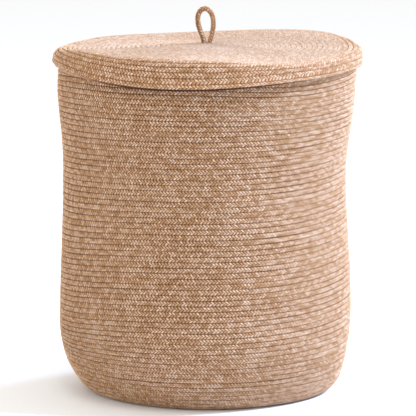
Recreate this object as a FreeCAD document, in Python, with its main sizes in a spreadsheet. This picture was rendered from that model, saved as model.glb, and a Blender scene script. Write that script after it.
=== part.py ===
# Laundry hamper with lid, sewn from coiled rope.
# Millimetres, +Z up, origin on the floor under the centre of the basket.
#
# The basket is one rope coiled into a flat base, a rounded foot, a tall wall with a waist, and a
# rim. The lid is a second coiled rope that fits over the rim, and a third piece of rope makes the
# loop handle that stands up at its centre. Each coil is drawn as the smooth shell that its rows fill.
import FreeCAD, Part
import os

import Sketcher

FULL_TURN = 360.0
NEAR = 1e-6

DIMENSIONS = {
    # Rope and thread
    "rope_thickness": 7.2,
    "thread_radius": 0.5,
    "thread_groove": 0.8,
    # Basket outline, outside face
    "foot_radius": 158.0,
    "foot_ease": 0.55,
    "belly_radius": 200.5,
    "belly_height": 110.0,
    "wall_ease": 0.33,
    "waist_radius": 193.5,
    "waist_height": 300.0,
    "rim_radius": 203.0,
    "rim_start": 430.0,
    "rim_height": 467.4,
    # Lid
    "lid_rim_gap": 0.4,
    "skirt_gap": 0.5,
    "shoulder_curve": 4.0,
    "skirt_length": 31.0,
    "edge_row": 7.2,
    # Loop handle
    "loop_rope": 6.9,
    "leg_offset": 3.7,
    "loop_hinge_rise": 3.8,
    "loop_leg_rise": 34.7,
    "loop_top_curve": 10.05,
    "stub_rise": 0.05,
    "tail_reach": 48.0,
    "tail_bend_slack": 0.1,
    # Stitches that hold the handle's tails
    "stitch_width": 1.2,
    "stitch_thickness": 0.6,
    "stitch_first": 16.0,
    "stitch_span": 24.0,
    "stitch_count": 3,
}


class Size:
    """A length together with the sheet formula that gives it."""

    def __init__(self, value, text):
        self.value = value
        self.text = text

    def __add__(self, other):
        return Size(self.value + other.value, f"({self.text} + {other.text})")

    def __sub__(self, other):
        return Size(self.value - other.value, f"({self.text} - {other.text})")

    def __neg__(self):
        return Size(-self.value, f"(-1 * {self.text})")

    def __mul__(self, other):
        return Size(self.value * other.value, f"({self.text} * {other.text})")

    def __truediv__(self, other):
        return Size(self.value / other.value, f"({self.text} / {other.text})")


def number(value):
    return Size(float(value), str(value))


ZERO = number(0)
HALF = number(0.5)
TWO = number(2)

doc = FreeCAD.newDocument("laundry_hamper")


def dimension_sheet():
    """Fill the sheet of driving dimensions and return it."""
    sheet = doc.addObject("Spreadsheet::Sheet", "Dimensions")
    for row, (alias, value) in enumerate(DIMENSIONS.items(), start=1):
        sheet.set(f"A{row}", alias)
        sheet.set(f"B{row}", str(value))
        sheet.setAlias(f"B{row}", alias)
    doc.recompute()
    return sheet


SHEET = dimension_sheet()


def size(alias):
    return Size(float(SHEET.get(alias)), f"Dimensions.{alias}")


# ---------------------------------------------------------------- drawing helpers


def new_body(label):
    body = doc.addObject("PartDesign::Body", label)
    body.Label = label
    return body


def origin_plane(body, role):
    return next(item for item in body.Origin.OriginFeatures if item.Role == role)


def new_sketch(body, name, role, height=None):
    """A sketch on one of the body's own planes, raised along its normal by height."""
    sketch = body.newObject("Sketcher::SketchObject", name)
    sketch.AttachmentSupport = (origin_plane(body, role), [""])
    sketch.MapMode = "FlatFace"
    if height is not None:
        sketch.setExpression("AttachmentOffset.Base.z", height.text)
    doc.recompute()
    return sketch


def vector(point):
    return FreeCAD.Vector(point[0].value, point[1].value, 0)


def bind(sketch, constraint, expression):
    """Add a dimension to the sketch and let the sheet drive it."""
    index = sketch.addConstraint(constraint)
    sketch.setExpression(f"Constraints[{index}]", expression.text)


def place_point(sketch, edge, end, point):
    """Hold one end of an edge at a point measured from the sketch's origin."""
    for axis, name, amount in ((-2, "DistanceX", point[0]), (-1, "DistanceY", point[1])):
        if abs(amount.value) < NEAR:
            sketch.addConstraint(Sketcher.Constraint("PointOnObject", edge, end, axis))
        else:
            bind(sketch, Sketcher.Constraint(name, -1, 1, edge, end, amount.value), amount)


def arc_through(start, stop, centre, radius):
    outward = (start + stop) * 0.5 - vector(centre)
    middle = vector(centre) + outward.normalize() * radius.value
    return Part.Arc(start, middle, stop)


def swept_curve(start, stop, handles):
    """A cubic curve that leaves start towards the first handle and meets stop from the second."""
    curve = Part.BSplineCurve()
    poles = [start, vector(handles[0]), vector(handles[1]), stop]
    curve.buildFromPolesMultsKnots(poles, [4, 4], [0.0, 1.0], False, 3)
    return curve


def hold_handles(sketch, edge, start, stop, handles):
    """Tie a curve's four control points to construction circles, and place its two handles."""
    poles = [start, vector(handles[0]), vector(handles[1]), stop]
    for index, pole in enumerate(poles):
        mark = sketch.addGeometry(Part.Circle(pole, FreeCAD.Vector(0, 0, 1), 1.0), True)
        alignment = "InternalAlignment:Sketcher::BSplineControlPoint"
        sketch.addConstraint(Sketcher.Constraint(alignment, mark, 3, edge, index))
        sketch.addConstraint(Sketcher.Constraint("Weight", mark, 1.0))
        if index in (1, 2):
            place_point(sketch, mark, 3, handles[index - 1])


def draw_path(sketch, corners, arcs, curves=None, closed=True):
    """Join the corners by lines, by arcs (centre, radius) or by curves (two handles)."""
    count = len(corners)
    curves = curves or {}
    edges = []
    for index in range(count if closed else count - 1):
        start = vector(corners[index])
        stop = vector(corners[(index + 1) % count])
        if index in arcs:
            edge = sketch.addGeometry(arc_through(start, stop, *arcs[index]), False)
        elif index in curves:
            edge = sketch.addGeometry(swept_curve(start, stop, curves[index]), False)
            hold_handles(sketch, edge, start, stop, curves[index])
        else:
            edge = sketch.addGeometry(Part.LineSegment(start, stop), False)
        first = 1 if sketch.getPoint(edge, 1).distanceToPoint(start) < NEAR else 2
        edges.append((edge, first))
    for index, (edge, first) in enumerate(edges):
        place_point(sketch, edge, first, corners[index])
        if closed or index > 0:
            before, before_first = edges[index - 1]
            sketch.addConstraint(Sketcher.Constraint("Coincident", before, 3 - before_first, edge, first))
        if index in arcs:
            radius = arcs[index][1]
            bind(sketch, Sketcher.Constraint("Radius", edge, radius.value), radius)
    if not closed:
        last, last_first = edges[-1]
        place_point(sketch, last, 3 - last_first, corners[-1])
    doc.recompute()


def draw_circle(sketch, centre, radius):
    edge = sketch.addGeometry(Part.Circle(vector(centre), FreeCAD.Vector(0, 0, 1), radius.value), False)
    place_point(sketch, edge, 3, centre)
    bind(sketch, Sketcher.Constraint("Radius", edge, radius.value), radius)


def revolved(label, corners, arcs=None, curves=None):
    """A ring: the closed outline turned once about the vertical axis."""
    body = new_body(label)
    sketch = new_sketch(body, f"{label}_outline", "XZ_Plane")
    draw_path(sketch, corners, arcs or {}, curves)
    ring = body.newObject("PartDesign::Revolution", f"{label}_ring")
    ring.Profile = sketch
    ring.ReferenceAxis = (sketch, ["V_Axis"])
    ring.Angle = FULL_TURN
    doc.recompute()
    return body


def disc(label, radius, thickness, height=None):
    """A flat round plate that grows upwards from its height."""
    body = new_body(label)
    sketch = new_sketch(body, f"{label}_outline", "XY_Plane", height)
    draw_circle(sketch, (ZERO, ZERO), radius)
    pad = body.newObject("PartDesign::Pad", f"{label}_plate")
    pad.Profile = sketch
    pad.setExpression("Length", thickness.text)
    doc.recompute()
    return body


def rim_edges(body, radius, height):
    """Names of the circular edges at that radius and height."""
    names = []
    for index, edge in enumerate(body.Shape.Edges, start=1):
        curve = edge.Curve
        if isinstance(curve, Part.Circle) and abs(curve.Center.z - height.value) < 0.001:
            if abs(curve.Radius - radius.value) < 0.001:
                names.append(f"Edge{index}")
    return names


def dress(body, kind, name, rings, field, amount):
    """Round or bevel the body's circular edges, each given as (radius, height)."""
    base = body.Tip
    names = [found for radius, height in rings for found in rim_edges(body, radius, height)]
    feature = body.newObject(f"PartDesign::{kind}", name)
    feature.Base = (base, names)
    feature.setExpression(field, amount.text)
    body.Tip = feature
    doc.recompute()


def ball(body, name, radius, centre):
    """Add a ball to the body, centred on a point of its XZ plane."""
    sphere = body.newObject("PartDesign::AdditiveSphere", name)
    sphere.setExpression("Radius", radius.text)
    sphere.setExpression("Placement.Base.x", centre[0].text)
    sphere.setExpression("Placement.Base.z", centre[1].text)
    doc.recompute()


def pipe(body, name, radius, corners, arcs):
    """Sweep a round rope along a path in the XZ plane that starts vertical at its first corner."""
    spine = new_sketch(body, f"{name}_path", "XZ_Plane")
    draw_path(spine, corners, arcs, closed=False)
    section = new_sketch(body, f"{name}_section", "XY_Plane", corners[0][1])
    draw_circle(section, (corners[0][0], ZERO), radius)
    doc.recompute()
    sweep = body.newObject("PartDesign::AdditivePipe", name)
    sweep.Profile = section
    sweep.Spine = (spine, [f"Edge{index}" for index in range(1, len(corners))])
    doc.recompute()


# ---------------------------------------------------------------- shared sizes

thickness = size("rope_thickness")
foot_radius = size("foot_radius")
belly_radius = size("belly_radius")
belly_height = size("belly_height")
waist_radius = size("waist_radius")
waist_height = size("waist_height")
rim_radius = size("rim_radius")
rim_start = size("rim_start")
rim_height = size("rim_height")
groove = size("thread_groove")

lid_underside = rim_height + size("lid_rim_gap")
lid_top = lid_underside + thickness
skirt_inside = rim_radius + size("skirt_gap")
skirt_outside = skirt_inside + thickness
shoulder_inner = size("shoulder_curve")
shoulder_radius = skirt_inside - shoulder_inner
shoulder_height = lid_underside - shoulder_inner
skirt_bottom = lid_underside - size("skirt_length")
edge_top = skirt_bottom + size("edge_row")

loop_radius = size("loop_rope") * HALF
leg_offset = size("leg_offset")
hinge_height = lid_top + size("loop_hinge_rise")


# ---------------------------------------------------------------- basket


def base_coil():
    return disc("base_coil", foot_radius, thickness)


def foot_handles(inset):
    """Handles of the quarter curve from the floor up to the belly, set in from the outside."""
    ease = size("foot_ease")
    reach = (belly_radius - inset - foot_radius) * ease
    drop = (belly_height - inset) * ease
    return (foot_radius + reach, inset), (belly_radius - inset, belly_height - drop)


def foot_coil():
    corners = [
        (foot_radius, ZERO),
        (belly_radius, belly_height),
        (belly_radius - thickness, belly_height),
        (foot_radius, thickness),
    ]
    curves = {0: foot_handles(ZERO), 2: foot_handles(thickness)[::-1]}
    body = revolved("foot_coil", corners, curves=curves)
    dress(body, "Chamfer", "foot_thread_groove", [(belly_radius, belly_height)], "Size", groove)
    return body


def upright_bend(low, high):
    """Handles of a gentle S between two points where the wall stands upright."""
    rise = (high[1] - low[1]) * size("wall_ease")
    return (low[0], low[1] + rise), (high[0], high[1] - rise)


def wall_zone(label, low, high):
    """A stretch of wall between two (radius, height) points of its outside face."""
    low_inside = (low[0] - thickness, low[1])
    high_inside = (high[0] - thickness, high[1])
    curves = {0: upright_bend(low, high), 2: upright_bend(low_inside, high_inside)[::-1]}
    body = revolved(label, [low, high, high_inside, low_inside], curves=curves)
    dress(body, "Chamfer", f"{label}_grooves", [low, high], "Size", groove)
    return body


def lower_wall_coil():
    return wall_zone("lower_wall_coil", (belly_radius, belly_height), (waist_radius, waist_height))


def upper_wall_coil():
    return wall_zone("upper_wall_coil", (waist_radius, waist_height), (rim_radius, rim_start))


def upright_ring(label, inside, outside, bottom, top):
    return revolved(label, [(inside, bottom), (outside, bottom), (outside, top), (inside, top)])


# A rounded row of rope keeps this much flat between its two rounded edges.
round_row = (thickness - number(0.1)) * HALF


def rim_coil():
    body = upright_ring("rim_coil", rim_radius - thickness, rim_radius, rim_start, rim_height)
    top = [(rim_radius, rim_height), (rim_radius - thickness, rim_height)]
    dress(body, "Fillet", "rim_rounding", top, "Radius", round_row)
    dress(body, "Chamfer", "rim_thread_groove", [(rim_radius, rim_start)], "Size", groove)
    return body


def thread_rings(label, rings):
    """Rows of sewing thread, each (radius, height) at the corner of its groove."""
    rows = []
    for index, (radius, height) in enumerate(rings, start=1):
        row = doc.addObject("Part::Torus", f"{label}_row_{index}")
        row.setExpression("Radius1", radius.text)
        row.setExpression("Radius2", "Dimensions.thread_radius")
        row.setExpression("Placement.Base.z", height.text)
        rows.append(row)
    group = doc.addObject("Part::Compound", label)
    group.Label = label
    group.Links = rows
    doc.recompute()
    return group


# A thread lies on the two bevels of its groove, with a hair of room, so its centre is this far
# inside the face.
thread_inset = groove - size("thread_radius") * number(1.45)


def basket_sewing_thread():
    seams = [(belly_radius, belly_height), (waist_radius, waist_height), (rim_radius, rim_start)]
    rings = [(radius - thread_inset, height) for radius, height in seams]
    return thread_rings("basket_sewing_thread", rings)


# ---------------------------------------------------------------- lid


def lid_top_coil():
    body = disc("lid_top_coil", shoulder_radius, thickness, lid_underside)
    holes = new_sketch(body, "handle_holes", "XY_Plane", lid_top)
    for side in (leg_offset, -leg_offset):
        draw_circle(holes, (side, ZERO), loop_radius)
    doc.recompute()
    pocket = body.newObject("PartDesign::Pocket", "handle_passage")
    pocket.Profile = holes
    pocket.Type = "ThroughAll"
    before = body.Shape.Volume
    doc.recompute()
    if body.Shape.Volume >= before:
        raise RuntimeError("the handle's holes cut nothing")
    dress(body, "Chamfer", "lid_top_groove", [(shoulder_radius, lid_top)], "Size", groove)
    return body


def lid_shoulder_coil():
    centre = (shoulder_radius, shoulder_height)
    corners = [
        (shoulder_radius, lid_underside),
        (skirt_inside, shoulder_height),
        (skirt_outside, shoulder_height),
        (shoulder_radius, lid_top),
    ]
    arcs = {0: (centre, shoulder_inner), 2: (centre, shoulder_inner + thickness)}
    body = revolved("lid_shoulder_coil", corners, arcs)
    seams = [(skirt_outside, shoulder_height), (shoulder_radius, lid_top)]
    dress(body, "Chamfer", "shoulder_thread_grooves", seams, "Size", groove)
    return body


def lid_skirt_coil():
    body = upright_ring("lid_skirt_coil", skirt_inside, skirt_outside, edge_top, shoulder_height)
    seams = [(skirt_outside, edge_top), (skirt_outside, shoulder_height)]
    dress(body, "Chamfer", "skirt_thread_grooves", seams, "Size", groove)
    return body


def lid_edge_coil():
    body = upright_ring("lid_edge_coil", skirt_inside, skirt_outside, skirt_bottom, edge_top)
    bottom = [(skirt_inside, skirt_bottom), (skirt_outside, skirt_bottom)]
    dress(body, "Fillet", "edge_rounding", bottom, "Radius", round_row)
    dress(body, "Chamfer", "edge_thread_groove", [(skirt_outside, edge_top)], "Size", groove)
    return body


def lid_sewing_thread():
    seams = [
        (skirt_outside - thread_inset, edge_top),
        (skirt_outside - thread_inset, shoulder_height),
        (shoulder_radius, lid_top - thread_inset),
    ]
    return thread_rings("lid_sewing_thread", seams)


# ---------------------------------------------------------------- handle


def handle_loop():
    """The standing teardrop: two legs that swing outwards into a round top."""
    top_curve = size("loop_top_curve")
    rise = size("loop_leg_rise")
    squares = rise * rise + leg_offset * leg_offset - top_curve * top_curve
    leg_curve = squares / (TWO * (top_curve - leg_offset))
    leg_centre = leg_offset + leg_curve
    share = leg_curve / (leg_curve + top_curve)
    shoulder = (leg_centre * (number(1) - share), hinge_height + rise * share)
    top_centre = (ZERO, hinge_height + rise)
    crown = (ZERO, hinge_height + rise + top_curve)
    corners = [
        (leg_offset, hinge_height),
        shoulder,
        crown,
        (-shoulder[0], shoulder[1]),
        (-leg_offset, hinge_height),
    ]
    arcs = {
        0: ((leg_centre, hinge_height), leg_curve),
        1: (top_centre, top_curve),
        2: (top_centre, top_curve),
        3: ((-leg_centre, hinge_height), leg_curve),
    }
    body = new_body("handle_loop")
    pipe(body, "loop_rope", loop_radius, corners, arcs)
    ball(body, "right_leg_end", loop_radius, (leg_offset, hinge_height))
    ball(body, "left_leg_end", loop_radius, (-leg_offset, hinge_height))
    return body


def handle_tail(label, side):
    """One end of the handle's rope: down through the lid and flat along its underside."""
    bend = loop_radius + size("tail_bend_slack")
    tail_height = lid_underside - loop_radius
    leg = leg_offset * side
    turned = leg + bend * side
    tip = (size("tail_reach") * side, tail_height)
    corners = [
        (leg, lid_top + size("stub_rise")),
        (leg, tail_height + bend),
        (turned, tail_height),
        tip,
    ]
    body = new_body(label)
    pipe(body, f"{label}_rope", loop_radius, corners, {1: ((turned, tail_height + bend), bend)})
    ball(body, f"{label}_tip", loop_radius, tip)
    return body


def handle_tail_stitches():
    """Bars of thread that pass under both tails, three on each side."""
    outer = loop_radius + size("stitch_thickness")
    tail_height = lid_underside - loop_radius
    centre = (ZERO, tail_height)
    bottom_in = tail_height - loop_radius
    bottom_out = tail_height - outer
    corners = [
        (outer, lid_underside),
        (outer, tail_height),
        (ZERO, bottom_out),
        (-outer, tail_height),
        (-outer, lid_underside),
        (-loop_radius, lid_underside),
        (-loop_radius, tail_height),
        (ZERO, bottom_in),
        (loop_radius, tail_height),
        (loop_radius, lid_underside),
    ]
    arcs = {1: (centre, outer), 2: (centre, outer), 6: (centre, loop_radius), 7: (centre, loop_radius)}
    body = new_body("handle_tail_stitches")
    body.AllowCompound = True
    sketch = new_sketch(body, "stitch_outline", "YZ_Plane", size("stitch_first"))
    draw_path(sketch, corners, arcs)
    stitch = body.newObject("PartDesign::Pad", "stitch")
    stitch.Profile = sketch
    stitch.setExpression("Length", "Dimensions.stitch_width")
    doc.recompute()
    both = body.newObject("PartDesign::MultiTransform", "stitches_on_both_tails")
    both.Originals = [stitch]
    mirror = body.newObject("PartDesign::Mirrored", "stitches_mirrored")
    mirror.MirrorPlane = (origin_plane(body, "YZ_Plane"), [""])
    repeat = body.newObject("PartDesign::LinearPattern", "stitches_repeated")
    repeat.Direction = (sketch, ["N_Axis"])
    repeat.setExpression("Length", "Dimensions.stitch_span")
    repeat.setExpression("Occurrences", "Dimensions.stitch_count")
    both.Transformations = [repeat, mirror]
    body.Tip = both
    doc.recompute()
    return body


# ---------------------------------------------------------------- checking and export


def check_document():
    for item in doc.Objects:
        if "Invalid" in item.State or "Error" in item.State:
            raise RuntimeError(f"{item.Name} did not rebuild: {item.State}")


def export(piece):
    shape = piece.Shape
    if shape.isNull() or not shape.isValid() or not shape.Solids:
        raise RuntimeError(f"{piece.Label} has no valid solid")
    shape.exportStep(os.path.join("parts", f"{piece.Label}.step"))
    box = shape.optimalBoundingBox(False, False)
    litres = shape.Volume / 1e6
    reach = f"x to {box.XMax:.2f}, z {box.ZMin:.2f} to {box.ZMax:.2f}"
    print(f"{piece.Label}: {len(shape.Solids)} solid(s), {litres:.4f} l, {reach}")


PIECES = [
    base_coil(),
    foot_coil(),
    lower_wall_coil(),
    upper_wall_coil(),
    rim_coil(),
    basket_sewing_thread(),
    lid_top_coil(),
    lid_shoulder_coil(),
    lid_skirt_coil(),
    lid_edge_coil(),
    lid_sewing_thread(),
    handle_loop(),
    handle_tail("handle_tail_right", number(1)),
    handle_tail("handle_tail_left", number(-1)),
    handle_tail_stitches(),
]

doc.recompute()
check_document()
os.makedirs("parts", exist_ok=True)
for piece in PIECES:
    export(piece)
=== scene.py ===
import math

import bmesh
import bpy
import numpy as np
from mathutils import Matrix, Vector


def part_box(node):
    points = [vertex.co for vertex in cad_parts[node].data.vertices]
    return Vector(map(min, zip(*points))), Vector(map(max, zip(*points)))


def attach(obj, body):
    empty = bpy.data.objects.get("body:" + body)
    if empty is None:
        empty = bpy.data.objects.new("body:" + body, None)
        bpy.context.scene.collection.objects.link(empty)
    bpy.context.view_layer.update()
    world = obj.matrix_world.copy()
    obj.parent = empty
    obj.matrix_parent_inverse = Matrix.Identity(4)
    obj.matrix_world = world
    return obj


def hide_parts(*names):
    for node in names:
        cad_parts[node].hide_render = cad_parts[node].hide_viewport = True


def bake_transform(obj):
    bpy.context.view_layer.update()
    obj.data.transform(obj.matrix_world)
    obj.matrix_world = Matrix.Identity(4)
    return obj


# Looks of the coiled-rope laundry hamper. Metres, in the CAD frame: +Z up, -Y towards the viewer.
# Each coil is one sheet of braided rows that spirals over the shell the CAD model gives it.

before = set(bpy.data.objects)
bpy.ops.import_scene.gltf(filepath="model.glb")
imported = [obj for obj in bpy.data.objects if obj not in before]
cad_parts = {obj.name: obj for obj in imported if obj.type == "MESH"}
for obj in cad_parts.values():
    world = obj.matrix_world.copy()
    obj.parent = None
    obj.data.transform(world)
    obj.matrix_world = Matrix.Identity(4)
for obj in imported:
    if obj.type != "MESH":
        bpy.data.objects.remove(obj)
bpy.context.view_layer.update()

MM = 0.001
FULL_TURN = 2 * math.pi

# ---------------------------------------------------------------- sizes from the frame

BASE_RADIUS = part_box("base_coil")[1].x
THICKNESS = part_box("base_coil")[1].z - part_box("base_coil")[0].z
BELLY_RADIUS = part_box("lower_wall_coil")[1].x
BELLY_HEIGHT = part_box("lower_wall_coil")[0].z
WAIST_INSET = 7 * MM
WAIST_RADIUS = BELLY_RADIUS - WAIST_INSET
WAIST_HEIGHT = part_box("upper_wall_coil")[0].z
RIM_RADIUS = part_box("rim_coil")[1].x
RIM_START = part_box("rim_coil")[0].z
RIM_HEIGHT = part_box("rim_coil")[1].z
LID_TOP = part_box("lid_top_coil")[1].z
LID_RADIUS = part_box("lid_skirt_coil")[1].x
LID_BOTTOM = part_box("lid_edge_coil")[0].z
FLOOR_GAP = 0.5 * MM      # between the floor and the coil's smooth outside

# ---------------------------------------------------------------- braid

BASKET_ROWS = 90
LID_ROWS = 34
LID_TOP_ROWS = 28          # of the lid's rows, those on its flat top and over its shoulder's upper half
CALM_ROWS = (24.0, 29.0)   # the lid's braid is worn flat up to the first of these rows, full from the second; up to there its painted shade is fainter and a pale painted sheen lies on it
EDGE_SHADOW_ROW = 32.55           # from here on the lid's rope turns under the edge, and at the front a painted shadow darkens it
STEPS = 1100               # mesh columns round one turn of a coil
STRANDS_PER_TURN = 275.37  # not whole, so that neighbouring rows fall out of step
INSIDE_SKIP = 4            # the hidden side has one column to this many outside
CHEVRON = 3.3 * MM         # how far a strand runs along its row from the edge to the middle
PITCH_WANDER = 1.9 * MM    # how far the strands drift along the row
INNERMOST = 8 * MM         # nearer the centre than this the strands slant no further
CALM_FULLNESS = 0.62       # height of a worn braid beside a full one

# Across one row, from its lower seam: (share of the row, height, relief of the strands)
WALL_ROW = (
    (0.0, -1.75 * MM, 0.1),
    (1 / 6, -0.32 * MM, 0.8),
    (2 / 6, 0.05 * MM, 1.0),
    (3 / 6, -0.28 * MM, 0.5),
    (4 / 6, 0.05 * MM, 1.0),
    (5 / 6, -0.32 * MM, 0.8),
)
LID_ROW = (
    (0.0, -2.0 * MM, 0.1),
    (1 / 6, -0.70 * MM, 0.7),
    (2 / 6, -0.05 * MM, 0.9),
    (3 / 6, -0.12 * MM, 0.5),
    (4 / 6, -0.05 * MM, 0.9),
    (5 / 6, -0.70 * MM, 0.7),
)
# Across one row of the hidden side: (share of the row, height)
INSIDE_ROW = ((0.0, -1.3 * MM), (1 / 3, -0.05 * MM), (2 / 3, -0.05 * MM))

# Along a strand, from the gap before it to the gap after it.
STRAND_PLACES = (0, 0.25, 0.5, 0.75, 1)
STRAND_HEIGHTS = (-1.05 * MM, 0.0, 0.36 * MM, 0.05 * MM, -1.05 * MM)


def strand_relief(phase):
    """Height of the braid at a phase of its strands: a whole number is the gap between two."""
    return np.interp(phase % 1, STRAND_PLACES, STRAND_HEIGHTS)


def smooth_step(low, high, value):
    """0 up to low, 1 from high, and an eased rise between them."""
    t = np.clip((value - low) / (high - low), 0, 1)
    return t * t * (3 - 2 * t)


def bezier(start, handle_a, handle_b, stop, count=400):
    """Points along a cubic curve."""
    t = np.linspace(0, 1, count)[:, None]
    points = [np.array(p, float) for p in (start, handle_a, handle_b, stop)]
    weights = ((1 - t) ** 3, 3 * t * (1 - t) ** 2, 3 * t * t * (1 - t), t ** 3)
    return sum(w * p for w, p in zip(weights, points))


class Meridian:
    """A profile of (radius, height) points that is read by its length from the start."""

    def __init__(self, *stretches):
        self.points = np.concatenate(stretches)
        steps = np.hypot(*np.diff(self.points, axis=0).T)
        self.length_at = np.concatenate([[0], np.cumsum(steps)])
        self.length = self.length_at[-1]

    def at(self, length):
        radius = np.interp(length, self.length_at, self.points[:, 0])
        height = np.interp(length, self.length_at, self.points[:, 1])
        return radius, height


def round_table(values):
    """A smooth closed curve through values given at equal angles from -180 degrees."""
    count = len(values)
    spectrum = np.fft.rfft(values)

    def read(angle):
        turn = (np.asarray(angle) + math.pi) / FULL_TURN
        total = np.full(np.shape(turn), spectrum[0].real / count)
        for k in range(1, len(spectrum)):
            share = (1 if 2 * k == count else 2) / count
            wave = FULL_TURN * k * turn
            total = total + share * (spectrum[k].real * np.cos(wave) - spectrum[k].imag * np.sin(wave))
        return total

    return read


# ---------------------------------------------------------------- the two shells

# The lid sags towards the front right and its rim stands up at the back right. Distances from the
# CAD lid's top and lower edge, every 30 degrees from the left (-180) round by the front (-90).
SHOULDER_SAG = round_table(np.array([
    -4.8, -0.6, -2.0, -3.5, -10.5, -8.5, -3.5, 4.5, 4.5, -0.5, -1.8, -2.8,
]) * MM)
EDGE_SAG = round_table(np.array([
    14.0, 9.0, -1.0, -2.4, 4.5, 10.0, 12.0, 10.0, 8.0, 4.0, 4.0, 10.0,
]) * MM)

# How far the basket leans to the right, at some heights.
LEAN_HEIGHTS = np.array([0, 20, 40, 60, 150, 240, 300, 360, 420, 450]) * MM
LEAN = np.array([5.5, 4.0, 1.0, 0.0, -0.3, -1.35, -1.3, 1.3, 1.4, 2.8]) * MM

# The other bends of the basket's soft wall. A pair is the heights between which a bend comes in
# or dies out.
WAVES_START = (0.0, 0.03)
WAVES_STOP = (0.40, 0.45)
BROAD_WAVES_START = (0.05, 0.20)
MIDDLE_WAVES_START = (0.03, 0.15)
ROW_SWING = 8 * MM              # the rows rise this far on the right and fall as far on the left
ROW_SWING_START = (0.03, 0.13)
ROW_SWING_STOP = (0.30, 0.43)
ROW_SWING_LOST = 0.7            # share of the swing that is gone at the rim
LEFT_DROP = 9 * MM              # low on the left the rows fall this much further
LEFT_DROP_START = (0.05, 0.13)
LEFT_DROP_STOP = (0.20, 0.30)
RIM_SAG_START = 0.36            # from here to the rim the wall comes to follow the lid
RIM_SAG_GAP = 1.0 * MM          # room that it leaves under the lid
RIM_RISE = 1.5 * MM             # the most that it stands up
FRONT_TUCK = 0.09               # share of its depth that the foot is drawn in at the front
FRONT_TUCK_STOP = (0.0, 0.10)
CORNER_TUCK = 0.04              # share of its radius that it is drawn in at the two front corners
CORNER_TUCK_STOP = (0.0, 0.09)


# How far the handles of the profile's curves reach, as shares of the stretch.
FOOT_HANDLE_OUT = 0.55
FOOT_HANDLE_HEIGHT = 0.45
WALL_HANDLE = 0.33


def basket_meridian():
    """From the centre of the base out over the foot, up the wall and over the rim's round top."""
    foot_reach = (BELLY_RADIUS - BASE_RADIUS) * FOOT_HANDLE_OUT
    foot_rise = BELLY_HEIGHT * FOOT_HANDLE_HEIGHT
    lower_rise = (WAIST_HEIGHT - BELLY_HEIGHT) * WALL_HANDLE
    upper_rise = (RIM_START - WAIST_HEIGHT) * WALL_HANDLE
    half = THICKNESS / 2
    turn = np.linspace(0, math.pi, 40)
    return Meridian(
        bezier(
            (0, FLOOR_GAP), (BASE_RADIUS / 3, FLOOR_GAP),
            (BASE_RADIUS * 2 / 3, FLOOR_GAP), (BASE_RADIUS, FLOOR_GAP),
        ),
        bezier(
            (BASE_RADIUS, FLOOR_GAP), (BASE_RADIUS + foot_reach, FLOOR_GAP),
            (BELLY_RADIUS, foot_rise), (BELLY_RADIUS, BELLY_HEIGHT),
        )[1:],
        bezier(
            (BELLY_RADIUS, BELLY_HEIGHT), (BELLY_RADIUS, BELLY_HEIGHT + lower_rise),
            (WAIST_RADIUS, WAIST_HEIGHT - lower_rise), (WAIST_RADIUS, WAIST_HEIGHT),
        )[1:],
        bezier(
            (WAIST_RADIUS, WAIST_HEIGHT), (WAIST_RADIUS, WAIST_HEIGHT + upper_rise),
            (RIM_RADIUS, RIM_START - upper_rise), (RIM_RADIUS, RIM_START),
        )[1:],
        np.stack([
            RIM_RADIUS - half * (1 - np.cos(turn)), RIM_HEIGHT - half * (1 - np.sin(turn)),
        ], 1),
    )


BASKET = basket_meridian()


def soften_basket(angle, radius, height):
    """Points of the basket after its soft wall has settled out of true."""
    right, back = np.cos(angle), np.sin(angle)
    lean = np.interp(height, LEAN_HEIGHTS, LEAN)
    # Swells and hollows in millimetres: two, three and five of each round the wall, turning as it rises.
    waves = (
        1.5 * np.sin(2 * angle + 9 * height + 0.6) * smooth_step(*BROAD_WAVES_START, height)
        + 1.0 * np.sin(3 * angle - 16 * height + 2.1) * smooth_step(*MIDDLE_WAVES_START, height)
        + 0.7 * np.sin(5 * angle + 31 * height)
    ) * MM * (1 - smooth_step(*WAVES_STOP, height)) * smooth_step(*WAVES_START, height) * back ** 2
    swing = ROW_SWING * smooth_step(*ROW_SWING_START, height)
    swing = swing * (1 - ROW_SWING_LOST * smooth_step(*ROW_SWING_STOP, height))
    low_left = smooth_step(*LEFT_DROP_START, height) * (1 - smooth_step(*LEFT_DROP_STOP, height))
    rows_rise = swing * right ** 3 - LEFT_DROP * low_left * np.clip(-right, 0, 1) ** 3
    sag = (SHOULDER_SAG(angle) - RIM_SAG_GAP) * smooth_step(RIM_SAG_START, RIM_HEIGHT, height)
    up = height + rows_rise + np.minimum(sag, RIM_RISE)
    corners = CORNER_TUCK * np.sin(2 * angle) ** 2 * (back < 0)
    wide = (radius + waves) * (1 - corners * (1 - smooth_step(*CORNER_TUCK_STOP, height)))
    front = FRONT_TUCK * np.clip(-back, 0, 1) ** 2
    deep = 1 - front * (1 - smooth_step(*FRONT_TUCK_STOP, height))
    return np.stack([wide * right + lean, wide * deep * back, up], -1)


def basket_surface(length, angle):
    radius, height = BASKET.at(length)
    return soften_basket(angle, radius, height)


LID_SHIFT = 3.0 * MM            # the lid lies this far to the right
LID_CORNER = 14 * MM            # radius of its shoulder at the front and the back
LID_CORNER_SWING = 6 * MM       # so much more on the left, and less on the right
LEAST_SKIRT = 2 * MM            # flat skirt that is left between the shoulder and the edge
LID_FLARE = 7.0 * MM            # the skirt's edge stands out this far at the front
LID_SAG_START = (0.25, 0.95)    # shares of the radius between which the lid comes to sag
TENT_HEIGHT = 1.5 * MM          # the handle pulls the lid's centre up
TENT_RADIUS = 0.035
DISH_DEPTH = 2.0 * MM           # and round that the lid is hollow
DISH_START = (0.02, 0.10)
DISH_STOP = (0.12, 0.19)
LID_FLAT = LID_RADIUS - LID_CORNER
LID_EDGE_TURN = 8 * MM          # the rows that turn under the edge take up this much, roughly
LID_LENGTH = LID_FLAT + LID_CORNER * math.pi / 2 + (LID_TOP - LID_CORNER - LID_BOTTOM) + LID_EDGE_TURN


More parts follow.
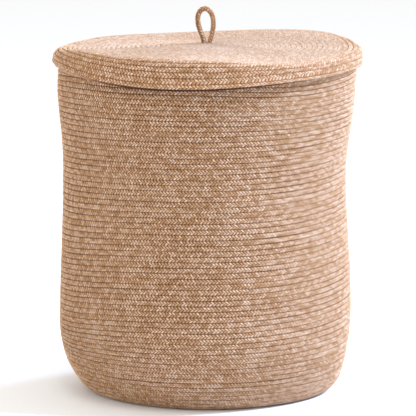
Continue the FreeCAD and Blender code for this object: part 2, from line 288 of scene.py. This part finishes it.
def lid_surface(length, angle):
    """The lid: flat top, a shoulder that is rounder on the left, skirt, and a round lower edge.

    Its rows keep their width, so where the skirt is short they ride up over the shoulder.
    """
    half = THICKNESS / 2
    rise = LID_TOP - LID_BOTTOM + SHOULDER_SAG(angle) - EDGE_SAG(angle)
    shoulder = np.minimum(LID_CORNER - LID_CORNER_SWING * np.cos(angle), rise - half - LEAST_SKIRT)
    flat = LID_RADIUS - shoulder
    depth = rise - shoulder - half
    full = flat + shoulder * math.pi / 2 + depth + half * math.pi
    way = length + (full - LID_LENGTH) * (length / LID_LENGTH) ** 2
    bend = np.clip((way - flat) / shoulder, 0, math.pi / 2)
    down = np.clip(way - flat - shoulder * math.pi / 2, 0, depth)
    curl = np.clip((way - full) / half + math.pi, 0, math.pi)
    radius = np.minimum(way, flat) + shoulder * np.sin(bend) - half * (1 - np.cos(curl))
    drop = shoulder * (1 - np.cos(bend)) + down + half * np.sin(curl)
    reach = smooth_step(*LID_SAG_START, radius / LID_RADIUS)
    tent = TENT_HEIGHT * (1 - smooth_step(0.0, TENT_RADIUS, radius))
    dish = DISH_DEPTH * smooth_step(*DISH_START, radius) * (1 - smooth_step(*DISH_STOP, radius))
    height = LID_TOP - drop + SHOULDER_SAG(angle) * reach + tent - dish
    radius = radius + LID_FLARE * (down / depth) ** 2 * np.clip(-np.sin(angle), 0, 1)
    return np.stack([radius * np.cos(angle) + LID_SHIFT * reach, radius * np.sin(angle), height], -1)


# ---------------------------------------------------------------- coiled sheet


def drift(turn, seed):
    """How far the strands have crept along the rope by this turn, between -1 and 1.

    It is three waves, none a whole number to a turn, so that neighbouring rows differ.
    """
    return (
        np.sin(turn * 41.3 + seed) + 0.7 * np.sin(turn * 67.9 + 2 * seed + 1.3)
        + 0.5 * np.sin(turn * 17.1 + 5 * seed)
    ) / 2.2


PROBE = 0.4 * MM       # half of the step over which a surface's slope is taken
PROBE_ANGLE = 0.002
NO_SIZE = 1e-9         # a cross product below this has no direction


class Coil:
    """One rope wound from the start of a surface to its end, with both ends tapered away."""

    def __init__(self, surface, length, rows, row_shape, side, seed, calm=None):
        self.surface = surface
        self.length = length
        self.rows = rows
        self.row_shape = row_shape
        self.pitch = length / rows
        self.side = side    # +1 where the braid faces up at the centre, -1 where it faces down
        self.seed = seed
        self.turns = rows + 1
        self.calm = calm    # the rows between which a worn braid fills out, if any
        # From here on the sheet folds back on itself, round the edge.
        self.inside_end = length - THICKNESS / 2 * math.pi

    def seam(self, turn):
        """Length along the surface of the lower edge of the row at this turn."""
        return self.pitch * np.clip(turn - 1, 0, self.rows)

    def lift(self, length, angle, height):
        """Points raised from the surface by height; the surface's inside is below it."""
        low = np.clip(length - PROBE, 0, self.length - 2 * PROBE)
        here = self.surface(length, angle)
        outward = self.surface(low + 2 * PROBE, angle) - self.surface(low, angle)
        onward = self.surface(length, angle + PROBE_ANGLE) - self.surface(length, angle - PROBE_ANGLE)
        normal = np.cross(outward, onward) * self.side
        size = np.linalg.norm(normal, axis=-1, keepdims=True)
        at_centre = size < NO_SIZE
        normal = np.where(at_centre, (0.0, 0.0, self.side), normal / np.where(at_centre, 1.0, size))
        return here + normal * np.asarray(height)[..., None]

    def outside(self, column):
        """Vertices of the braided side: an array of columns by places across the row."""
        turn = column / STEPS
        seam = self.seam(turn)
        width = self.seam(turn + 1) - seam
        fullness = width / self.pitch
        if self.calm:
            full_braid = smooth_step(*self.calm, turn - 1)
            fullness = fullness * (CALM_FULLNESS + (1 - CALM_FULLNESS) * full_braid)
        rings = []
        for share, height, relief in self.row_shape:
            phase = turn * STRANDS_PER_TURN + (0.5 if share > 0.5 else 0)
            strands = strand_relief(phase)
            if share == 0.5:
                strands = (strands + strand_relief(phase + 0.5)) / 2
            length = seam + width * share
            point = 1 - abs(2 * share - 1)
            radius = np.maximum(np.hypot(*self.surface(length, 0 * turn)[..., :2].T), INNERMOST)
            creep = (CHEVRON * point + PITCH_WANDER * drift(turn, self.seed) * (share > 0)) / radius
            rings.append(self.lift(length, FULL_TURN * turn + creep, (height + relief * strands) * fullness))
        return np.stack(rings, 1)

    def inside(self, column):
        """Vertices of the hidden side, in the same order."""
        turn = column / STEPS
        seam = self.seam(turn)
        width = self.seam(turn + 1) - seam
        rings = []
        for share, height in INSIDE_ROW:
            depth = -THICKNESS - height * width / self.pitch
            length = np.minimum(seam + width * share, self.inside_end)
            rings.append(self.lift(length, FULL_TURN * turn, depth))
        return np.stack(rings, 1)


def build_mesh(name, vertices, faces, uvs):
    """A mesh from faces of any size, with the rope's own coordinates as its UV map."""
    mesh = bpy.data.meshes.new(name)
    mesh.vertices.add(len(vertices))
    mesh.vertices.foreach_set("co", np.ascontiguousarray(vertices, np.float32).ravel())
    corners = np.concatenate([block.ravel() for block in faces]).astype(np.int32)
    sizes = np.concatenate([np.full(len(block), block.shape[1]) for block in faces])
    starts = np.concatenate([[0], np.cumsum(sizes)[:-1]]).astype(np.int32)
    mesh.loops.add(len(corners))
    mesh.loops.foreach_set("vertex_index", corners)
    mesh.polygons.add(len(sizes))
    mesh.polygons.foreach_set("loop_start", starts)
    mesh.polygons.foreach_set("loop_total", sizes.astype(np.int32))
    mesh.polygons.foreach_set("use_smooth", np.ones(len(sizes), bool))
    mesh.update(calc_edges=True)
    layer = mesh.uv_layers.new(name="rope")
    flat = np.concatenate([block.reshape(-1, 2) for block in uvs]).astype(np.float32)
    layer.data.foreach_set("uv", flat.ravel())
    mesh.validate()
    obj = bpy.data.objects.new(name, mesh)
    bpy.context.scene.collection.objects.link(obj)
    return obj


def coil_band(name, coil, first, last):
    """The turns from first to last of a coil, as one closed shell of braided rows."""
    across_out, across_in = len(coil.row_shape), len(INSIDE_ROW)
    skip = INSIDE_SKIP
    start, stop = int(first * STEPS), int(last * STEPS)
    columns = np.arange(start, stop + STEPS + 1)
    outside = coil.outside(columns).reshape(-1, 3)
    inside = coil.inside(columns[::skip]).reshape(-1, 3)
    faces, uvs = [], []

    def outer(column, place):
        """Number of a vertex on the braided side; a row's last place is the next row's first."""
        wraps = place == across_out
        return np.where(wraps, (column - start + STEPS) * across_out, (column - start) * across_out + place)

    def inner(column, place):
        """Number of a vertex on the hidden side, likewise."""
        step = (column - start) // skip
        wraps = place == across_in
        return len(outside) + np.where(wraps, (step + STEPS // skip) * across_in, step * across_in + place)

    def add(index_block, uv_block, facing=1):
        if coil.side * facing < 0:
            index_block, uv_block = index_block[:, ::-1], uv_block[:, ::-1]
        faces.append(index_block)
        uvs.append(uv_block)

    def uv(column, row):
        return np.stack([column / STEPS * STRANDS_PER_TURN, row], -1)

    def edge_uv(column):
        return uv(column, column // STEPS + 0.0)

    def strip(number, corners, row, places, facing):
        """Four-sided faces along the rope; each corner is its columns and its place across."""
        add(
            np.stack([number(column, np.full_like(column, place)) for column, place in corners], 1),
            np.stack([uv(column, row + place / places) for column, place in corners], 1),
            facing,
        )

    body = np.arange(start, stop)
    for place in range(across_out):
        corners = ((body, place), (body, place + 1), (body + 1, place + 1), (body + 1, place))
        strip(outer, corners, body // STEPS, across_out, 1)
    near = np.arange(start, stop, skip)
    far = near + skip
    for place in range(across_in):
        corners = ((near, place), (far, place), (far, place + 1), (near, place + 1))
        strip(inner, corners, near // STEPS, across_in, -1)

    def bridge(place_out, place_in, columns_from, facing):
        """Close one edge of the band with faces from the braided side to the hidden side."""
        edge = np.arange(columns_from, columns_from + STEPS, skip)
        rim = [outer(edge + k, np.full_like(edge, place_out)) for k in range(skip + 1)]
        back = [inner(edge + skip, np.full_like(edge, place_in)), inner(edge, np.full_like(edge, place_in))]
        marks = [edge_uv(edge + k) for k in range(skip + 1)] + [edge_uv(edge + skip), edge_uv(edge)]
        add(np.stack(rim + back, 1), np.stack(marks, 1), facing)

    def cap(column, facing):
        """Close the cut across the rope at this column."""
        at = np.array([column])
        ring = [outer(at, np.array([place])) for place in range(across_out + 1)]
        ring += [inner(at, np.array([place])) for place in range(across_in, -1, -1)]
        add(np.stack(ring, 1), np.stack([edge_uv(at)] * len(ring), 1), facing)

    if first > 0:
        bridge(0, 0, start, 1)
        cap(start, -1)
    if last < coil.turns:
        cap(stop, 1)
    bridge(across_out, across_in, stop - STEPS, -1)

    obj = build_mesh(name, np.concatenate([outside, inside]), faces, uvs)
    weld(obj)
    return obj


def weld(obj):
    """Merge the vertices that meet at a coil's tapered ends, and drop unused ones."""
    modifier = obj.modifiers.new("weld", "WELD")
    modifier.merge_threshold = 0.01 * MM
    graph = bpy.context.evaluated_depsgraph_get()
    mesh = bpy.data.meshes.new_from_object(obj.evaluated_get(graph))
    obj.modifiers.clear()
    old = obj.data
    obj.data = mesh
    bpy.data.meshes.remove(old)
    mesh.name = obj.name
    loose = np.ones(len(mesh.vertices), bool)
    used = np.zeros(len(mesh.loops), np.int32)
    mesh.loops.foreach_get("vertex_index", used)
    loose[used] = False
    if loose.any():
        editable = bmesh.new()
        editable.from_mesh(mesh)
        spare = [v for v in editable.verts if not v.link_faces]
        bmesh.ops.delete(editable, geom=spare, context="VERTS")
        editable.to_mesh(mesh)
        editable.free()


# ---------------------------------------------------------------- materials


class Graph:
    """Short forms for building a material's nodes."""

    def __init__(self, name):
        self.material = bpy.data.materials.new(name)
        self.material.use_nodes = True
        self.tree = self.material.node_tree
        self.shader = self.tree.nodes["Principled BSDF"]

    def node(self, kind, inputs=(), **settings):
        made = self.tree.nodes.new(kind)
        for key, value in settings.items():
            setattr(made, key, value)
        for key, value in dict(inputs).items():
            self.feed(made.inputs[key], value)
        return made

    def feed(self, socket, value):
        if isinstance(value, bpy.types.NodeSocket):
            self.tree.links.new(value, socket)
        else:
            socket.default_value = value

    def math(self, operation, a, b=0.0, c=0.0):
        made = self.tree.nodes.new("ShaderNodeMath")
        made.operation = operation
        for socket, value in zip(made.inputs, (a, b, c)):
            self.feed(socket, value)
        return made.outputs[0]

    def noise(self, vector, scale, detail=2.0, roughness=0.5):
        made = self.node("ShaderNodeTexNoise", {"Vector": vector, "Scale": scale, "Detail": detail,
                                                "Roughness": roughness})
        return made.outputs["Fac"]

    def vector(self, x, y, z):
        return self.node("ShaderNodeCombineXYZ", {"X": x, "Y": y, "Z": z}).outputs[0]

    def ramp(self, value, stops):
        made = self.node("ShaderNodeValToRGB", {"Fac": value})
        elements = made.color_ramp.elements
        while len(elements) < len(stops):
            elements.new(0.5)
        for element, (place, colour) in zip(elements, stops):
            element.position = place
            element.color = (*colour, 1.0)
        return made.outputs["Color"]

    def band(self, value, low, high, before, after=1.0):
        """A smooth step: before where the value is low or less, after where it is high or more."""
        limits = {"Value": value, "From Min": low, "From Max": high, "To Min": before, "To Max": after}
        made = self.node("ShaderNodeMapRange", limits, clamp=True, interpolation_type="SMOOTHSTEP")
        return made.outputs[0]

    def mixed(self, mode, factor, first, second):
        made = self.node("ShaderNodeMix", data_type="RGBA", blend_type=mode)
        self.feed(made.inputs["Factor"], factor)
        colours = [socket for socket in made.inputs if socket.type == "RGBA"]
        self.feed(colours[0], first)
        self.feed(colours[1], second)
        return next(socket for socket in made.outputs if socket.type == "RGBA")

    def bump(self, height, strength, distance, normal=None):
        made = self.node("ShaderNodeBump", {"Height": height, "Strength": strength, "Distance": distance})
        if normal:
            self.feed(made.inputs["Normal"], normal)
        return made.outputs[0]

    def plain(self, **settings):
        """Set the shader's plain values, with _ for a space in a name, and give the material."""
        for key, value in settings.items():
            self.shader.inputs[key.replace("_", " ")].default_value = value
        return self.material


FLECKS_PER_METRE = 520.0
CLOUDS_PER_METRE = 14.0
TWISTS_PER_METRE = 900.0
PAINTED_SHEEN = (0.46, 0.41, 0.37, 1.0)    # greyish paleness painted on the lid's top as its sheen
FRONT_SHADE_STOP = (-0.19, -0.11)  # going back, the painted shadow under the lid's edge dies out between these


def rope_material(name, dark, middle, light, calm=None, edge=None):
    """Heathered braid: fibres that follow each strand, strands that differ, and painted shade in the gaps
    and seams.

    calm is the two rows between which the lid's flattened braid, with fainter painted shade and a pale
    painted sheen, turns into the full one.
    edge is the row from which the rope turns under an edge; at the front a painted shadow darkens it there.
    """
    g = Graph(name)
    coordinates = g.node("ShaderNodeUVMap", uv_map="rope").outputs[0]
    split = g.node("ShaderNodeSeparateXYZ", {"Vector": coordinates})
    lengthwise, rows = split.outputs["X"], split.outputs["Y"]
    row = g.math("FLOOR", rows)
    across = g.math("FRACT", rows)
    from_middle = g.math("ABSOLUTE", g.math("MULTIPLY_ADD", across, 2.0, -1.0))
    upper = g.math("GREATER_THAN", across, 0.5)
    strand = g.math("MULTIPLY_ADD", upper, 0.5, lengthwise)
    nearest_gap = g.math("FLOOR", g.math("ADD", strand, 0.5))
    from_gap = g.math("ABSOLUTE", g.math("SUBTRACT", strand, nearest_gap))

    # Patterns: one tone to a strand, fibres along it, flecks, and slow changes along the rope.
    place = g.node("ShaderNodeTexCoord").outputs["Object"]
    one_strand = g.vector(g.math("FLOOR", strand), row, upper)
    tone = g.node("ShaderNodeTexWhiteNoise", {"Vector": one_strand}).outputs["Value"]
    fibre_place = g.vector(g.math("MULTIPLY", strand, 7.0), g.math("MULTIPLY", from_middle, 1.3),
                           g.math("MULTIPLY", row, 3.7))
    fibres = g.noise(fibre_place, 1.0, detail=4.0, roughness=0.65)
    flecks = g.noise(place, FLECKS_PER_METRE, detail=3.0, roughness=0.6)
    cloud = g.noise(place, CLOUDS_PER_METRE, detail=3.0, roughness=0.6)
    streak_place = g.vector(g.math("MULTIPLY", lengthwise, 0.045), g.math("MULTIPLY", row, 1.7), 0.0)
    streak = g.noise(streak_place, 1.0)
    value = g.math("MULTIPLY_ADD", fibres, 0.34, -0.085)
    for pattern, share in ((tone, 0.20), (flecks, 0.55), (cloud, 0.06), (streak, 0.10)):
        value = g.math("MULTIPLY_ADD", pattern, share, value)
    colour = g.ramp(value, [(0.20, dark), (0.48, middle), (0.78, light)])

    # Painted shade: 1 on top of a strand, less in the gaps between strands, along the row's middle and in
    # the seams between rows.
    wobble = g.math("MULTIPLY_ADD", flecks, 0.16, -0.08)
    gap = g.band(g.math("ADD", from_gap, wobble), 0.05, 0.27, before=0.11)
    # Along the rope the painted shade in the seams widens and narrows.
    seam_shade_wobble = g.math("MULTIPLY_ADD", streak, 0.50, -0.25)
    seam = g.band(g.math("ADD", from_middle, seam_shade_wobble), 0.72, 0.96, before=1.0, after=0.28)
    middle_line = g.band(from_middle, 0.0, 0.16, before=0.85)
    shade = g.math("MULTIPLY", g.math("MULTIPLY", gap, seam), middle_line)
    if calm or edge:
        turned = g.math("FRACT", g.math("DIVIDE", lengthwise, STRANDS_PER_TURN))
        reach = g.math("ADD", rows, g.math("ADD", turned, -1.0))
    if calm:
        # Up to the calm rows the painted shade is fainter and a pale painted sheen is mixed into the colour.
        full_braid = g.band(reach, *calm, before=0.0)
        strength = g.math("MULTIPLY_ADD", full_braid, 0.30, 0.56)
        # Near the coil's centre the gaps lie close together, so the painted shade in each is fainter.
        strength = g.math("MULTIPLY", strength, g.band(reach, 1.0, 9.0, before=0.45))
        darkness = g.math("MULTIPLY", strength, g.math("SUBTRACT", 1.0, shade))
        shade = g.math("SUBTRACT", 1.0, darkness)
        colour = g.mixed("MIX", g.math("MULTIPLY_ADD", full_braid, -0.22, 0.22), colour, PAINTED_SHEEN)
    if edge:
        # Painted shadow under the lid's edge: at the front, the rows that turn under it are darkened.
        depth = g.node("ShaderNodeSeparateXYZ", {"Vector": place}).outputs["Y"]
        front = g.band(depth, *FRONT_SHADE_STOP, before=1.0, after=0.0)
        painted_edge_shadow = g.band(reach, edge, edge + 0.3, before=0.0, after=0.92)
        shade = g.math("MULTIPLY", shade, g.math("SUBTRACT", 1.0, g.math("MULTIPLY", front, painted_edge_shadow)))
    # Light that finds its way out of a gap between strands comes out redder.
    powers = {"Red": 0.80, "Green": 1.06, "Blue": 1.32}
    tint = {channel: g.math("POWER", shade, power) for channel, power in powers.items()}
    tint = g.node("ShaderNodeCombineColor", tint).outputs[0]
    g.feed(g.shader.inputs["Base Color"], g.mixed("MULTIPLY", 1.0, colour, tint))

    raised = g.math("MULTIPLY_ADD", fibres, 0.35, gap)
    strands_bump = g.bump(raised, strength=0.9, distance=1.0 * MM)
    fleck_bump = g.bump(flecks, strength=0.4, distance=0.5 * MM, normal=strands_bump)
    g.feed(g.shader.inputs["Normal"], fleck_bump)
    return g.plain(Roughness=0.85, Specular_IOR_Level=0.18, Sheen_Weight=0.2, Sheen_Roughness=0.3,
                   Sheen_Tint=(1.0, 0.90, 0.78, 1.0))


def thread_material(name, colour):
    """Spun thread: painted shade in the hollows of its twist."""
    g = Graph(name)
    place = g.node("ShaderNodeTexCoord").outputs["Object"]
    twist = g.noise(place, TWISTS_PER_METRE, roughness=0.6)
    darker = tuple(channel * 0.6 for channel in colour)
    g.feed(g.shader.inputs["Base Color"], g.ramp(twist, [(0.3, darker), (0.65, colour)]))
    g.feed(g.shader.inputs["Normal"], g.bump(twist, strength=0.3, distance=0.3 * MM))
    return g.plain(Roughness=0.8, Specular_IOR_Level=0.1)


TAN_DARK = (0.17, 0.077, 0.031)
TAN = (0.505, 0.269, 0.121)
TAN_LIGHT = (0.90, 0.71, 0.56)
BASKET_ROPE = rope_material("basket_rope", TAN_DARK, TAN, TAN_LIGHT)
LID_ROPE = rope_material("lid_rope", TAN_DARK, TAN, TAN_LIGHT, CALM_ROWS, EDGE_SHADOW_ROW)
HANDLE_DARK = (0.20, 0.09, 0.038)
HANDLE_TAN = (0.54, 0.292, 0.144)
HANDLE_LIGHT = (0.90, 0.68, 0.50)
HANDLE_ROPE = rope_material("handle_rope", HANDLE_DARK, HANDLE_TAN, HANDLE_LIGHT)
THREAD_BROWN = (0.36, 0.17, 0.075)
THREAD = thread_material("sewing_thread", THREAD_BROWN)


def dress(obj, material, body, slot, *nodes):
    """Give a piece its material, the body it rides on, if one, and the nodes it replaces; slot is not used.
    """
    obj.data.materials.clear()
    obj.data.materials.append(material)
    if body:
        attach(obj, body)
    if nodes:
        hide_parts(*nodes)
    return obj


# ---------------------------------------------------------------- basket and lid

basket_coil = Coil(basket_surface, BASKET.length, BASKET_ROWS, WALL_ROW, side=-1, seed=0.7)
lid_coil = Coil(lid_surface, LID_LENGTH, LID_ROWS, LID_ROW, side=1, seed=2.9, calm=CALM_ROWS)


def turn_at_height(height):
    """The whole turn of the basket's coil nearest to this height."""
    lengths = np.linspace(0, BASKET.length, 4000)
    heights = BASKET.at(lengths)[1]
    first = np.argmax(heights > 0)
    return round(float(np.interp(height, heights[first:], lengths[first:])) / basket_coil.pitch)


base_turns = round(BASE_RADIUS / basket_coil.pitch)
belly_turns = turn_at_height(BELLY_HEIGHT)
waist_turns = turn_at_height(WAIST_HEIGHT)
rim_turns = turn_at_height(RIM_START)


def split_band(name, coil, first, last, parts):
    """The turns from first to last as so many bands, which keeps each under the triangle limit."""
    marks = [round(first + (last - first) * k / parts) for k in range(parts + 1)]
    return [
        coil_band(f"{name}_{k + 1}" if parts > 1 else name, coil, marks[k], marks[k + 1])
        for k in range(parts)
    ]


for zone, node, first, last, parts in (
    ("basket_base_rows", "base_coil", 0, base_turns, 2),
    ("basket_foot_rows", "foot_coil", base_turns, belly_turns, 2),
    ("basket_lower_wall_rows", "lower_wall_coil", belly_turns, waist_turns, 3),
    ("basket_upper_wall_rows", "upper_wall_coil", waist_turns, rim_turns, 2),
    ("basket_rim_rows", "rim_coil", rim_turns, basket_coil.turns, 1),
):
    for band in split_band(zone, basket_coil, first, last, parts):
        dress(band, BASKET_ROPE, "basket", "basket_rope", node)

for band in split_band("lid_top_rows", lid_coil, 0, LID_TOP_ROWS, 3):
    dress(band, LID_ROPE, "lid", "lid_rope", "lid_top_coil")
skirt = coil_band("lid_skirt_rows", lid_coil, LID_TOP_ROWS, lid_coil.turns)
dress(skirt, LID_ROPE, "lid", "lid_rope", "lid_shoulder_coil", "lid_skirt_coil", "lid_edge_coil")

# ---------------------------------------------------------------- handle and threads


def smooth_path(corners, step):
    """Points about every step along a Catmull-Rom curve through the corners."""
    points = np.array(corners, float)
    ends = np.concatenate([[2 * points[0] - points[1]], points, [2 * points[-1] - points[-2]]])
    samples = 40
    t = np.linspace(0, 1, samples, endpoint=False)[:, None]
    parts = []
    for p0, p1, p2, p3 in zip(ends, ends[1:], ends[2:], ends[3:]):
        parts.append(0.5 * (2 * p1 + (p2 - p0) * t + (2 * p0 - 5 * p1 + 4 * p2 - p3) * t ** 2
                            + (3 * p1 - p0 - 3 * p2 + p3) * t ** 3))
    dense = np.concatenate(parts + [points[-1:]])
    reach = np.concatenate([[0], np.cumsum(np.linalg.norm(np.diff(dense, axis=0), axis=1))])
    count = max(2, round(reach[-1] / step))
    marks = np.linspace(0, reach[-1], count + 1)
    return np.stack([np.interp(marks, reach, dense[:, k]) for k in range(3)], 1)


def rope_grid(centres, side, radii, shear):
    """Rings of points round a path; each ring's points are slid along it by shear."""
    count, around = len(centres), radii.shape[1]
    ring = np.arange(count)
    place = np.clip(ring[:, None] + np.broadcast_to(shear, (count, around)), 0, count - 1)
    at = np.stack([np.interp(place, ring, centres[:, k]) for k in range(3)], -1)
    tangents = np.gradient(centres, axis=0)
    forward = np.stack([np.interp(place, ring, tangents[:, k]) for k in range(3)], -1)
    forward /= np.linalg.norm(forward, axis=-1, keepdims=True)
    across = np.broadcast_to(np.array(side, float), forward.shape)
    out = np.cross(forward, across)
    turn = np.linspace(0, FULL_TURN, around, endpoint=False)[None, :, None]
    return at + radii[..., None] * (np.cos(turn) * out + np.sin(turn) * across)


def tube_mesh(name, rings, uv_rows, uv_pitch):
    """A closed tube from rings of points, with uv_rows rows round it and a strand every uv_pitch rings."""
    count, around = rings.shape[:2]
    i, j = np.meshgrid(np.arange(count - 1), np.arange(around), indexing="ij")
    i, j = i.ravel(), j.ravel()
    after = (j + 1) % around
    here, ahead = i * around, (i + 1) * around
    sides = np.stack([here + j, here + after, ahead + after, ahead + j], 1)
    marks = np.stack([
        np.stack([row / uv_pitch, place / around * uv_rows], -1)
        for row, place in ((i, j), (i, j + 1), (i + 1, j + 1), (i + 1, j))
    ], 1)
    ends = np.stack([np.arange(around)[::-1], (count - 1) * around + np.arange(around)])
    end_marks = np.zeros((2, around, 2))
    return build_mesh(name, rings.reshape(-1, 3), [sides, ends], [marks, end_marks])


HANDLE_STRAND = 4.0 * MM     # length of one strand of the handle's braid
HANDLE_COLUMNS = 6           # rings of points to one strand
HANDLE_AROUND = 30           # points round the rope
HANDLE_ROWS = 3              # chevrons round the rope
HANDLE_CHEVRON = 3.2         # rings that a strand runs along the rope from its edge to its middle
HANDLE_RADIUS = 3.55 * MM
HANDLE_STRAND_RELIEF = 0.26 * MM
HANDLE_SEAM_DEPTH = 0.30 * MM
HANDLE_END_RINGS = 5         # each end rounds off over so many rings
HANDLE_END_LEAST = 0.04      # at the very end its radius is the square root of this share
# Centre line of the handle rope in millimetres (across, up): tail, leg, loop, leg, tail.
HANDLE_CENTRES = (
    (48.0, 464.3), (30.0, 464.3), (15.0, 464.3), (8.6, 465.4), (6.0, 469.0), (5.8, 474.0),
    (6.5, 480.0), (8.4, 486.4), (9.8, 493.3), (10.6, 500.2), (10.5, 507.1), (9.2, 513.6),
    (5.2, 520.0), (-0.8, 522.9), (-6.4, 520.4), (-9.8, 514.0), (-10.2, 507.1), (-9.2, 500.2),
    (-7.0, 493.3), (-4.4, 486.4), (-2.1, 480.0), (-1.9, 474.0), (-3.4, 469.0), (-8.0, 465.4),
    (-15.0, 464.3), (-30.0, 464.3), (-48.0, 464.3),
)


def handle_rope():
    """One braided rope from tail to tail, with its loop above the lid."""
    corners = [(x * MM, 0.0, z * MM) for x, z in HANDLE_CENTRES]
    centres = smooth_path(corners, HANDLE_STRAND / HANDLE_COLUMNS)
    across = (np.arange(HANDLE_AROUND) / HANDLE_AROUND * HANDLE_ROWS) % 1
    point = 1 - abs(2 * across - 1)
    column = np.arange(len(centres))[:, None]
    phase = (column / HANDLE_COLUMNS + 0.5 * (across > 0.5)) % 1
    strands = np.cos(FULL_TURN * (phase - 0.5)) * (0.3 + 0.7 * np.sqrt(point))
    relief = HANDLE_STRAND_RELIEF * strands - HANDLE_SEAM_DEPTH * (1 - point) ** 2
    ends = np.minimum(column, column[::-1]) / HANDLE_END_RINGS
    radii = (HANDLE_RADIUS + relief) * np.sqrt(np.clip(ends, HANDLE_END_LEAST, 1))
    rings = rope_grid(centres, (0, 1, 0), radii, HANDLE_CHEVRON * point)
    return tube_mesh("handle_rope_loop", rings, HANDLE_ROWS, HANDLE_COLUMNS)


handle = dress(handle_rope(), HANDLE_ROPE, None, "handle_rope", "handle_loop", "handle_tail_right",
               "handle_tail_left")
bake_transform(handle)

LID_THREAD_START = 3           # nearer the centre the handle covers the lid's seams
SEAM_THREAD_DEPTH = 1.85 * MM  # of the thread's top below the coil's surface, on average
SEAM_THREAD_DIP = 0.25 * MM    # up and down from that at every stitch
SEAM_THREAD_SIDE = 0.35 * MM   # its sides lie this much lower
SEAM_THREAD_HALF = 0.045       # half its width, as a share of the row's
STITCH_COLUMNS = 4             # points of the thread to one stitch


def seam_thread(name, coil, first, last):
    """The sewing thread lying in the seam between rows, dipping in at every stitch."""
    turns = np.arange(first * STEPS, last * STEPS + 1, 2) / STEPS
    stitch = FULL_TURN * np.arange(len(turns)) / STITCH_COLUMNS
    height = -SEAM_THREAD_DEPTH + SEAM_THREAD_DIP * np.cos(stitch)
    side_height = height - SEAM_THREAD_SIDE
    half = SEAM_THREAD_HALF * coil.pitch
    seam = coil.seam(turns)
    angle = FULL_TURN * turns
    low = coil.lift(seam - half, angle, side_height)
    top = coil.lift(seam, angle, height)
    high = coil.lift(seam + half, angle, side_height)
    rings = np.stack((low, top, high) if coil.side > 0 else (high, top, low), 1)
    return tube_mesh(name, rings, 1, STITCH_COLUMNS)


STITCHES_A_SIDE = 3
STITCH_INNER = 16 * MM       # a side's stitches are spread out from here to the end of their box
STITCH_REACH = 4.2 * MM      # half of the width that a stitch spans
STITCH_DROP = 4.0 * MM       # from its ends to its lowest point
STITCH_SLANT = 0.6 * MM
STITCH_POINTS = 13
STITCH_THREAD = 0.42 * MM    # the thread's radius
STITCH_AROUND = 6


def tail_stitches():
    """Loops of thread that hold the handle's tails under the lid."""
    low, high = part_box("handle_tail_stitches")
    turn = np.linspace(0, math.pi, STITCH_POINTS)
    radii = np.full((STITCH_POINTS, STITCH_AROUND), STITCH_THREAD)
    made = []
    for side, word in ((-1, "left"), (1, "right")):
        for k in range(STITCHES_A_SIDE):
            place = side * (STITCH_INNER + (high.x - STITCH_INNER) * (k + 0.5) / STITCHES_A_SIDE)
            path = np.stack([
                place + side * STITCH_SLANT * np.cos(turn),
                STITCH_REACH * np.cos(turn),
                low.z + STITCH_REACH - STITCH_DROP * np.sin(turn),
            ], 1)
            rings = rope_grid(path, (1, 0, 0), radii, 0.0)
            made.append(tube_mesh(f"tail_stitch_{word}_{k + 1}", rings, 1, 2))
    return made


for stitch in tail_stitches():
    dress(stitch, THREAD, "lid", "sewing_thread", "handle_tail_stitches")
for name, coil, body, first, last in (
    ("lower_seam_thread", basket_coil, "basket", base_turns, waist_turns),
    ("upper_seam_thread", basket_coil, "basket", waist_turns, BASKET_ROWS - 1),
    ("lid_seam_thread", lid_coil, "lid", LID_THREAD_START, LID_ROWS - 1),
):
    dress(seam_thread(name, coil, first, last), THREAD, body, "sewing_thread", f"{body}_sewing_thread")

# ---------------------------------------------------------------- studio

WORLD_COLOUR = (1.0, 0.97, 0.92, 1.0)
WORLD_STRENGTH = 1.02
FLOOR_SIZE = 30
FLOOR_COLOUR = (0.915, 0.943, 0.985, 1.0)
COOL = (0.80, 1.04, 1.50)     # makes up for the warm light that the rope throws on itself
WHITE = (1.0, 1.0, 1.0)
WARM = (1.0, 0.94, 0.82)
# Soft boxes: (name, place, the point they face, watts, width, colour)
SOFT_BOXES = (
    ("key", (2.45, -0.3, 2.2), (0, 0, 0.4), 128, 0.5, COOL),
    ("rear", (1.9, 2.0, 1.2), (0, 0, 0.4), 50, 0.8, COOL),
    ("top", (-0.1, -1.0, 2.4), (0, 0, 0.3), 6, 0.6, WHITE),
    ("fill", (-2.6, -0.6, 1.1), (0, 0, 0.3), 11, 0.8, WARM),
)
CAMERA_LENS = 242.85          # millimetres, on a sensor 36 wide
CAMERA_SENSOR = 36
CAMERA_PLACE = (0.0034, -3.8, 0.84)
CAMERA_AIM = (0.0034, 0.0, 0.2494)


def aim_at(obj, place, aim):
    """Put a lamp or camera in its place, facing a point."""
    obj.location = place
    obj.rotation_euler = (Vector(aim) - Vector(place)).to_track_quat("-Z", "Y").to_euler()
    bpy.context.scene.collection.objects.link(obj)
    return obj


def backdrop():
    """White surroundings and a plain pale floor."""
    scene = bpy.context.scene
    scene.view_settings.view_transform = "Standard"
    scene.view_settings.look = "None"
    scene.world = bpy.data.worlds.new("studio")
    scene.world.use_nodes = True
    background = scene.world.node_tree.nodes["Background"]
    background.inputs["Color"].default_value = WORLD_COLOUR
    background.inputs["Strength"].default_value = WORLD_STRENGTH

    bpy.ops.mesh.primitive_plane_add(size=FLOOR_SIZE, location=(0, 0, 0))
    floor = bpy.context.object
    floor.name = "floor"
    g = Graph("pale_floor")
    g.shader.inputs["Base Color"].default_value = FLOOR_COLOUR
    g.shader.inputs["Roughness"].default_value = 0.7
    floor.data.materials.append(g.material)


def soft_box(name, place, aim, power, width, colour):
    data = bpy.data.lights.new(name, "AREA")
    data.color = colour
    data.energy = power
    data.shape = "SQUARE"
    data.size = width
    aim_at(bpy.data.objects.new(name, data), place, aim)


def camera():
    data = bpy.data.cameras.new("camera")
    data.lens = CAMERA_LENS
    data.sensor_width = CAMERA_SENSOR
    bpy.context.scene.camera = aim_at(bpy.data.objects.new("camera", data), CAMERA_PLACE, CAMERA_AIM)


backdrop()
for box in SOFT_BOXES:
    soft_box(*box)
camera()
